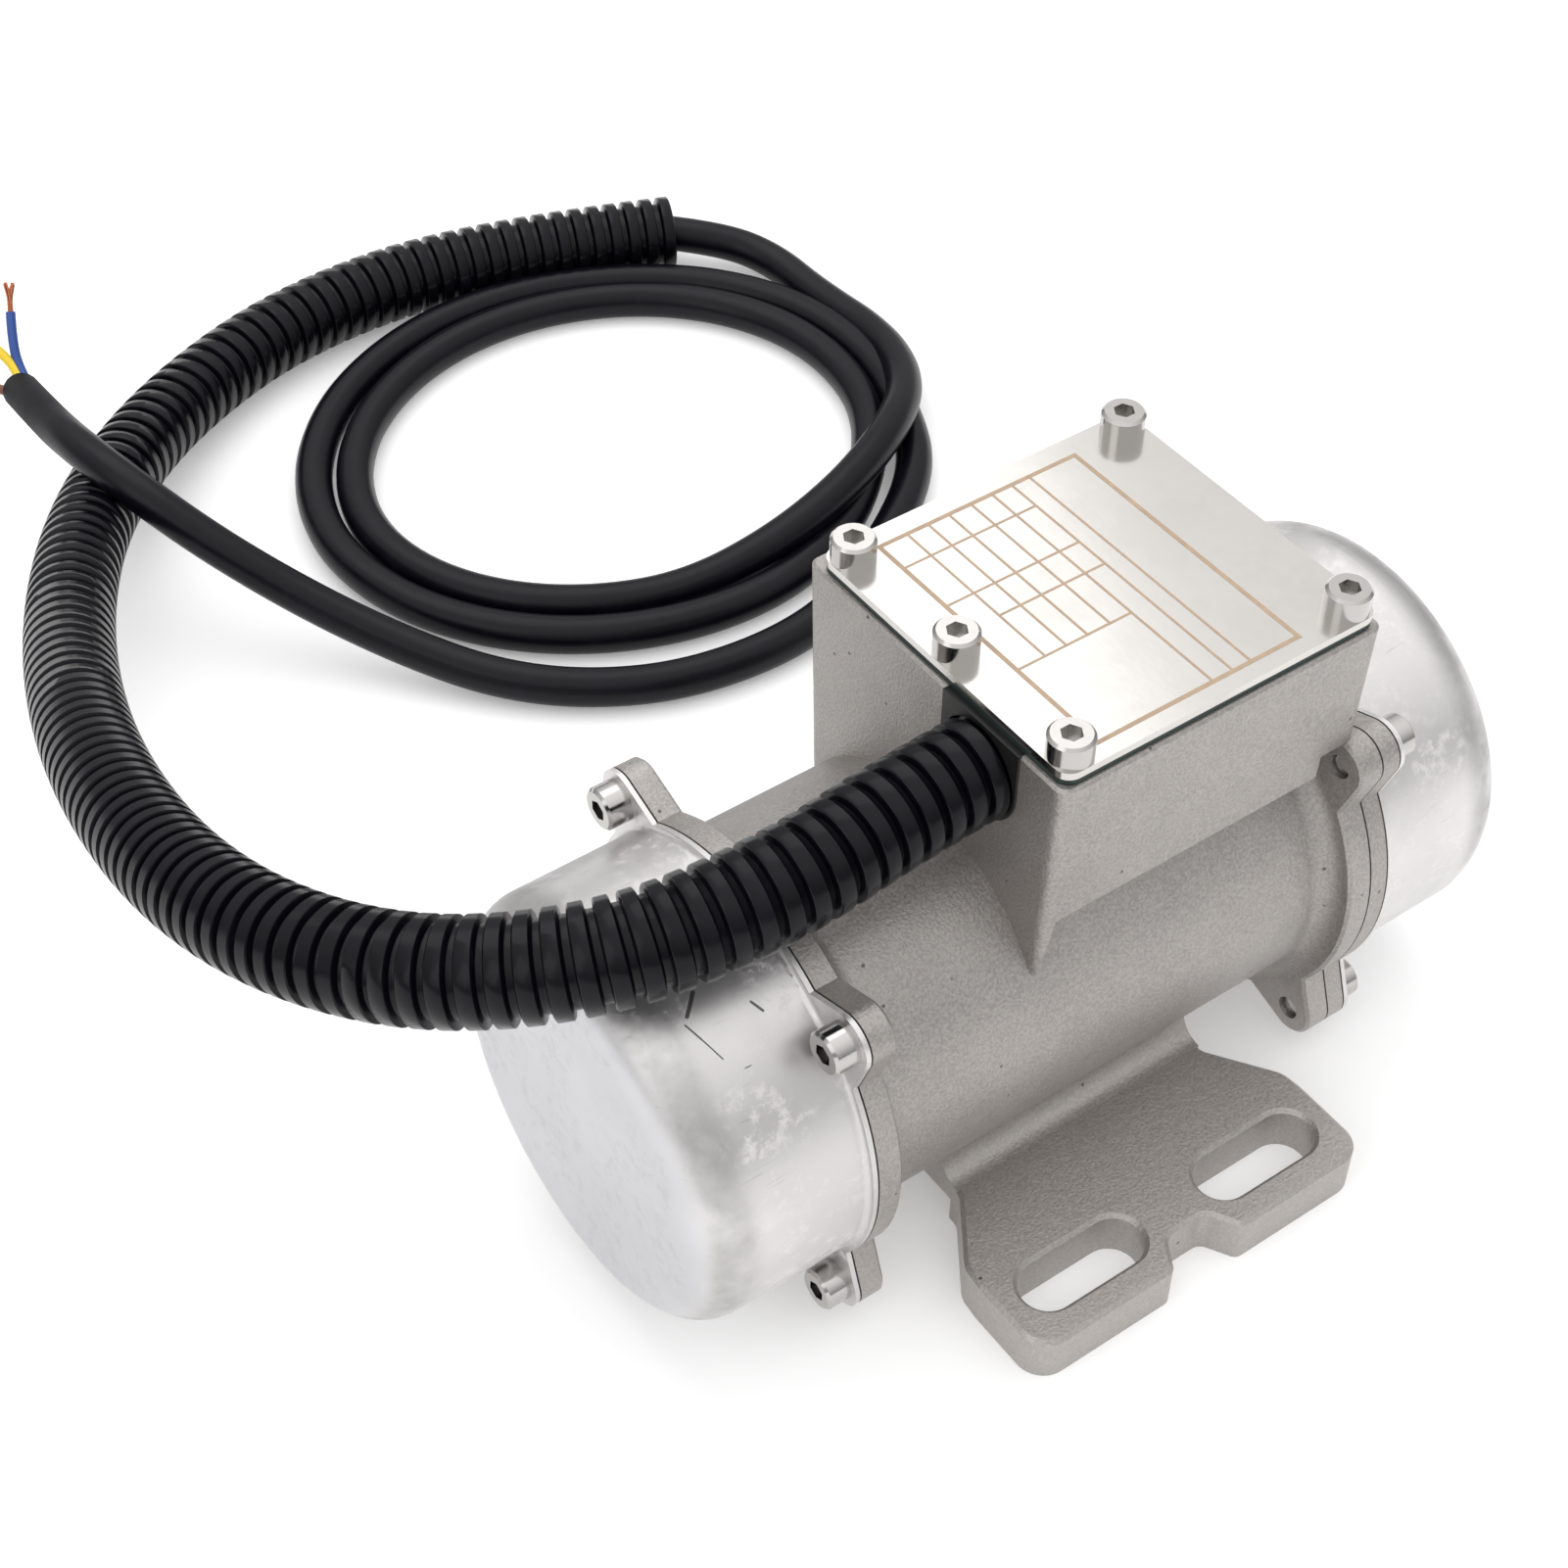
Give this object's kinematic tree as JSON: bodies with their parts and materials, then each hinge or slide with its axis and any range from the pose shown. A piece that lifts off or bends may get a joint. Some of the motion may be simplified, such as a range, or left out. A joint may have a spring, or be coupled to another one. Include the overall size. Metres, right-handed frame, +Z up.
{
  "type": "vibration motor",
  "caption": "Small foot-mounted vibration motor: cast stainless housing with square terminal box, drawn end caps over eccentric weights, corrugated conduit and a loose coil of cable.",
  "frame": {"origin": "middle of the four foot slots, on the underside of the foot, under the shaft", "axes": "+X along the shaft away from the conduit end, +Z up from the foot, -Y towards the side of the foot nearest the viewer"},
  "size_m": [0.2252, 0.3237, 0.1005],
  "materials": {
    "cast_stainless": "sand-blasted cast stainless steel",
    "drawn_stainless": "satin drawn stainless sheet",
    "polished_steel": "polished stainless screws",
    "polished_sheet": "polished stainless sheet with an etched ruled frame",
    "black_gasket": "thin black gasket",
    "lid_rubber": "dark rubber gasket",
    "black_sealant": "black sealing bush",
    "electrical_steel": "laminated electrical steel",
    "enamelled_copper": "varnished copper wire",
    "cast_aluminium": "cast aluminium",
    "ground_steel": "ground steel",
    "bearing_steel": "ground bearing steel",
    "cage_steel": "pressed steel",
    "weight_steel": "plain cut steel",
    "capacitor_case": "moulded case",
    "terminal_plastic": "moulded nylon",
    "brass_parts": "plain brass",
    "conduit_plastic": "black corrugated plastic",
    "cable_rubber": "black cable sheath",
    "core_blue": "blue core insulation",
    "core_brown": "brown core insulation",
    "core_earth": "yellow core insulation with a green stripe",
    "bare_copper": "bare copper strands"
  },
  "bodies": {
    "housing": {"motor_body": "cast_stainless", "bearing_shield": "cast_stainless", "shield_gasket": "black_gasket", "near_cap_gasket": "black_gasket", "far_cap_gasket": "black_gasket", "near_end_cap": "drawn_stainless", "far_end_cap": "drawn_stainless", "near_cap_screws": "polished_steel", "far_cap_screws": "polished_steel", "lid_plate": "polished_sheet", "lid_gasket": "lid_rubber", "lid_screws": "polished_steel", "conduit_grommet": "black_sealant", "stator_core": "electrical_steel", "stator_winding": "enamelled_copper", "near_bearing_outer_race": "bearing_steel", "far_bearing_outer_race": "bearing_steel", "wave_washer": "cage_steel", "running_capacitor": "capacitor_case", "terminal_block": "terminal_plastic", "terminal_screws": "brass_parts", "earth_screw": "brass_parts", "conduit": "conduit_plastic", "cable_lead": "cable_rubber", "cable_coil": "cable_rubber", "cable_tail": "cable_rubber", "core_blue": "core_blue", "core_brown": "core_brown", "core_earth": "core_earth", "core_blue_copper": "bare_copper", "core_brown_copper": "bare_copper", "core_earth_copper": "bare_copper"},
    "rotor": {"shaft": "ground_steel", "rotor_core": "electrical_steel", "rotor_end_rings": "cast_aluminium", "near_bearing_inner_race": "bearing_steel", "far_bearing_inner_race": "bearing_steel", "near_fixed_weight": "weight_steel", "near_circlip": "cage_steel", "near_weight_key": "ground_steel", "far_fixed_weight": "weight_steel", "far_circlip": "cage_steel", "far_weight_key": "ground_steel"},
    "near_ball_set": {"near_bearing_balls": "bearing_steel", "near_bearing_cage": "cage_steel"},
    "far_ball_set": {"far_bearing_balls": "bearing_steel", "far_bearing_cage": "cage_steel"},
    "near_loose_weight_set": {"near_loose_weight": "weight_steel", "near_clamp_screw": "polished_steel"},
    "far_loose_weight_set": {"far_loose_weight": "weight_steel", "far_clamp_screw": "polished_steel"}
  },
  "joints": [
    {"name": "rotor_spin", "type": "hinge", "parent": "housing", "child": "rotor", "pos_m": [0, 0, 0.0375], "axis": [1, 0, 0], "continuous": true},
    {"name": "near_balls_roll", "type": "hinge", "parent": "housing", "child": "near_ball_set", "pos_m": [-0.0422, 0, 0.0375], "axis": [1, 0, 0], "continuous": true},
    {"name": "far_balls_roll", "type": "hinge", "parent": "housing", "child": "far_ball_set", "pos_m": [0.0427, 0, 0.0375], "axis": [1, 0, 0], "continuous": true},
    {"name": "near_weight_setting", "type": "hinge", "parent": "rotor", "child": "near_loose_weight_set", "pos_m": [-0.066, 0, 0.0375], "axis": [1, 0, 0], "range_deg": [0, 180]},
    {"name": "far_weight_setting", "type": "hinge", "parent": "rotor", "child": "far_loose_weight_set", "pos_m": [0.0682, 0, 0.0375], "axis": [1, 0, 0], "range_deg": [0, 180]}
  ],
  "couplings": [
    {"joint": "near_balls_roll", "follows": "rotor_spin", "ratio": 0.382},
    {"joint": "far_balls_roll", "follows": "rotor_spin", "ratio": 0.382}
  ]
}
